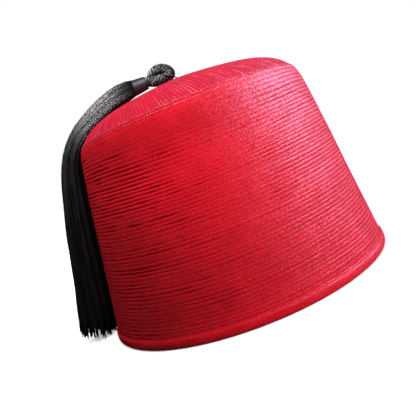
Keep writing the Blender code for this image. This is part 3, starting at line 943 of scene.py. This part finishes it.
def makeKnot(s):
    # strands around the doubled bundle: a strand's threads circle its own line, which turns about the bundle
    # by twist * share and kinks to both sides
    rows = np.array([(x, 0.0, z, high, high, wide) for x, z, high, wide in s["route"]])
    rows = readAlong(smoothCurve(rows), np.linspace(0, 1, s["routeSteps"]), 3)
    rng = np.random.default_rng(s["seed"])
    count = s["strands"] * s["threads"]
    share = np.broadcast_to(np.linspace(0, 1, s["stations"]), (count, s["stations"]))
    strand = np.repeat(np.arange(s["strands"]), s["threads"])

    def each(low, high):
        return rng.uniform(low, high, s["strands"])[strand][:, None]

    middle = aroundCircle(s["strands"])[strand][:, None] + each(*s["offPlace"]) + s["twist"] * share
    kink = s["kink"] * np.sin(share * each(*s["kinkWaves"]) + each(*anyPhase)) * each(*s["kinkSpread"])
    turn = np.tile(aroundCircle(s["threads"]), s["strands"])[:, None] + each(*anyPhase)
    turn = turn + s["strandTurns"] * math.tau * share * each(*s["turnSpread"])
    rise = s["rise"] * np.sin(share * each(*s["riseWaves"]) + each(*anyPhase))
    around = middle + kink + s["strandWide"] * np.cos(turn)
    depth = s["strandDepth"] + rise + s["strandHigh"] * np.sin(turn)
    lines = bundlePoint(rows, share, around, depth * readTable(s["narrowing"], share))
    shade = rng.random((count, 1)) / 2 + rng.random(s["strands"])[strand][:, None] / 2
    piece = threadPiece("knotThreads", lines, s["radius"] * mm, knotThreadPaintedLight, shade)
    place(piece, "knot_thread", "tassel_knot")

    # short loose hairs: each starts in the surface and curls a little way off it
    along = np.linspace(0, 1, s["hairStations"])
    one = (s["hairs"], 1)
    drift, curl = s["hairDrift"]
    foot = rng.uniform(*s["hairFoot"], one) + along * rng.normal(0, drift, one)
    about = rng.uniform(0, math.tau, one) + along * rng.normal(0, curl, one)
    depth = s["hairDepth"] + along**s["hairPower"] * rng.uniform(*s["hairLift"], one)
    lines = bundlePoint(rows, np.clip(foot, 0, 1), about, depth)
    place(threadPiece("knotHairs", lines, s["hairRadius"] * mm, knotThreadPaintedLight, rng.random(one)), "knot_thread")

    share, around = coreGrid(*s["core"])
    points = bundlePoint(rows, share, around, s["coreDepth"] * readTable(s["coreNarrowing"], share))
    place(corePiece("knotCore", points, knotThreadPaintedLight), "knot_thread")


makeKnot(knotBundle)

bandWrap = {
    "start": (-15.0, 0.0, 151.4),   # of its axis, at the knot
    "end": (-24.2, 0.0, 151.0),     # and over the first of the skirt
    "radius": 5.15,
    "neck": 0.95,           # how much slimmer it is at the knot
    "lip": 0.35,            # of the raised ring at the skirt
    "lipAt": (0.95, 0.035),     # share of the length, and half width
    "drawnIn": 0.9,         # at both ends
    "drawnOver": 0.012,     # share of the length
    "turns": 24,
    "samples": 5,
    "ridge": 0.09,
    "sides": 72,
    "tones": (0.3, 1.0),
    "seed": 61,
}


def makeBand(s):
    # a sleeve: the radius less neck * (1 - share)^2 towards the knot, plus the ring's lip near the skirt,
    # less ridge * (1 - |sin(pi t)|) between neighbouring turns of thread, and drawn in at both ends
    count = s["turns"] * s["samples"]
    t = np.arange(count + 1) / s["samples"]
    share = t / s["turns"]
    radius = s["radius"] - s["neck"] * (1 - share) ** 2 - s["ridge"] * (1 - np.abs(np.sin(math.pi * t)))
    radius += s["lip"] * hump(share, *s["lipAt"])
    radius -= s["drawnIn"] * hump(np.minimum(share, 1 - share), 0, s["drawnOver"])
    axisStart = np.array(s["start"])
    axis = s["end"] - axisStart
    side = np.array([0.0, 1.0, 0.0])
    out = np.cross(unit(axis), side)
    angle = aroundCircle(s["sides"])
    ring = np.cos(angle)[:, None] * side + np.sin(angle)[:, None] * out
    slant = share[:, None] + angle / math.tau / s["turns"] * np.sin(math.pi * share[:, None])
    grid = (axisStart + slant[..., None] * axis + radius[:, None, None] * ring) * mm
    rng = np.random.default_rng(s["seed"])
    tone = np.repeat(rng.uniform(*s["tones"], s["turns"] + 1), s["samples"])[:count + 1]
    tone = np.broadcast_to(tone[:, None], grid.shape[:2])
    poles = np.stack([axisStart, axisStart + axis]) * mm
    piece = gridPiece("bandWrap", grid[:, ::-1], bandThread, ends=poles, values={"thread": tone})
    place(piece, "band_thread", "tassel_band")


makeBand(bandWrap)

tieThread = {
    "route": [              # out of the loop's eye, over the front of its bend, then down into the crown
        (-3.6, -4.5, 152.0),
        (-2.2, -6.6, 151.0),
        (-0.4, -7.1, 149.9),
        (1.4, -6.9, 149.1),
        (3.0, -5.3, 148.4),
        (4.2, -3.0, 147.4),
        (4.9, -1.0, 147.0),
        (5.4, 0.0, 146.4),
        (5.4, 0.0, 145.4),
    ],
    "radius": 0.28,
    "turnsOfPly": 12,
    "stations": 120,
    "sides": 8,
    "tones": (0.1, 0.4),    # of its two plies
}


def makeTie(s):
    # two plies wound around the route: each is a helix of its own radius about the thread's axis
    route = readAlong(smoothCurve(s["route"]), np.linspace(0, 1, s["stations"]), 3)
    along = unit(np.gradient(route, axis=0))
    side = np.array([0.0, 1.0, 0.0])
    out = np.cross(along, side)
    turn = np.linspace(0, s["turnsOfPly"] * math.tau, s["stations"])
    plies = [route + s["radius"] * (np.cos(turn + half)[:, None] * side + np.sin(turn + half)[:, None] * out)
             for half in (0.0, math.pi)]
    piece = threadPiece("tieThread", np.stack(plies) * mm, s["radius"] * mm, knotThreadPaintedLight,
                        np.array(s["tones"])[:, None], s["sides"])
    place(piece, "thread", "tassel_tie")


makeTie(tieThread)
print("knot, band and tie made")

skirtThreads = {
    "route": [              # x, y, z, half thickness outwards and towards the cap, half width
        (-21.4, 0.0, 151.1, 4.3, 4.3, 4.3),
        (-24.4, 0.0, 150.9, 5.0, 5.0, 5.1),
        (-30.0, 0.0, 150.4, 6.3, 6.2, 6.1),
        (-38.0, 0.0, 149.0, 6.8, 6.7, 6.6),
        (-49.8, 0.0, 144.9, 7.1, 6.7, 7.0),
        (-60.1, 0.0, 140.6, 6.6, 6.2, 7.2),
        (-68.4, 0.2, 136.0, 6.4, 5.8, 7.5),
        (-76.1, 0.5, 128.9, 6.6, 5.8, 8.0),
        (-81.4, 0.8, 121.2, 7.1, 6.2, 8.6),
        (-85.0, 1.1, 112.0, 8.2, 7.0, 9.4),
        (-88.1, 1.4, 101.0, 9.4, 7.8, 10.4),
        (-91.1, 1.7, 87.0, 11.0, 8.5, 11.4),
        (-94.1, 2.0, 72.0, 12.4, 8.9, 12.2),
        (-97.1, 2.2, 56.0, 13.3, 9.2, 13.0),
        (-100.1, 2.3, 40.0, 14.3, 9.4, 13.7),
        (-103.1, 2.4, 24.0, 15.7, 9.4, 14.4),
        (-106.1, 2.4, 8.0, 17.3, 8.9, 15.2),
        (-107.5, 2.4, 0.6, 18.0, 8.7, 15.5),
    ],
    "routeSteps": 160,
    "sets": {               # how many threads, from and to which depth, how far they bend
        "skirtOuter": (840, 0.90, 1.0, 0.10),
        "skirtInner": (700, 0.55, 0.92, 0.10),
        "skirtStrays": (26, 0.98, 1.12, 0.22),
    },
    "stations": 32,
    "radius": 0.21,
    "shorter": (0.032, 0.014),  # uneven lengths: normal and even spread, shares
    "bendWaves": (5, 11),   # radians of their waves from end to end
    "reach": 0.05,          # how far they wander in and out
    "reachWaves": (4, 9),
    "locks": 13,
    "clump": 0.50,          # how far they gather into locks at the tips
    "clumpPower": 1.6,      # higher keeps them apart for longer
    "lockDepth": 0.10,      # how much thinner the bundle is between the locks
    "lowest": 0.35,         # the longest ends stop just above the ground
    "core": (0.93, 60, 44),     # its end on the route, rings, sides
    "coreDepth": (0.80, 0.12),  # share of the half thickness, and less of it between the locks
    "seed": 41,
}


def makeSkirt(s):
    # threads side by side on ovals around the route; towards the tips each moves to the middle of its lock by
    # clump * share^clumpPower, and each ends at its own length
    rows = readAlong(smoothCurve(s["route"]), np.linspace(0, 1, s["routeSteps"]), 3)
    for index, (name, (count, shallow, deep, bend)) in enumerate(s["sets"].items()):
        rng = np.random.default_rng(s["seed"] + index)
        one = (count, 1)
        start = rng.uniform(0, math.tau, count)[:, None]
        depth = np.sqrt(rng.uniform(shallow**2, deep**2, count))[:, None]
        tail, even = s["shorter"]
        length = 1 - np.abs(rng.normal(0, tail, count)) - even * rng.random(count)
        share = np.linspace(0, 1, s["stations"]) * length[:, None]
        lock = np.round(start / math.tau * s["locks"]) / s["locks"] * math.tau
        pull = s["clump"] * share**s["clumpPower"]
        around = start * (1 - pull) + lock * pull + rng.normal(0, bend, one) * share
        around += rng.normal(0, bend / 2, one) * np.sin(share * rng.uniform(*s["bendWaves"], one)
                                                        + rng.uniform(*anyPhase, one))
        reach = depth * (1 + s["reach"] * np.sin(share * rng.uniform(*s["reachWaves"], one) + start))
        reach *= 1 - s["lockDepth"] * share * np.abs(np.sin((around - lock) * s["locks"] / 2))
        lines = bundlePoint(rows, share, around, reach)
        lines[..., 2] = np.maximum(lines[..., 2], s["lowest"] * mm)
        piece = threadPiece(name, lines, s["radius"] * mm, skirtThread, rng.random(one))
        place(piece, "skirt_thread", *(["tassel_skirt"] if index == 0 else []))

    share, around = coreGrid(*s["core"])
    middle, groove = s["coreDepth"]
    depth = middle * (1 - groove * share * (0.5 - 0.5 * np.cos(around * s["locks"])))
    place(corePiece("skirtCore", bundlePoint(rows, share, around, depth), skirtThread), "skirt_thread")


makeSkirt(skirtThreads)
print("tassel skirt made")
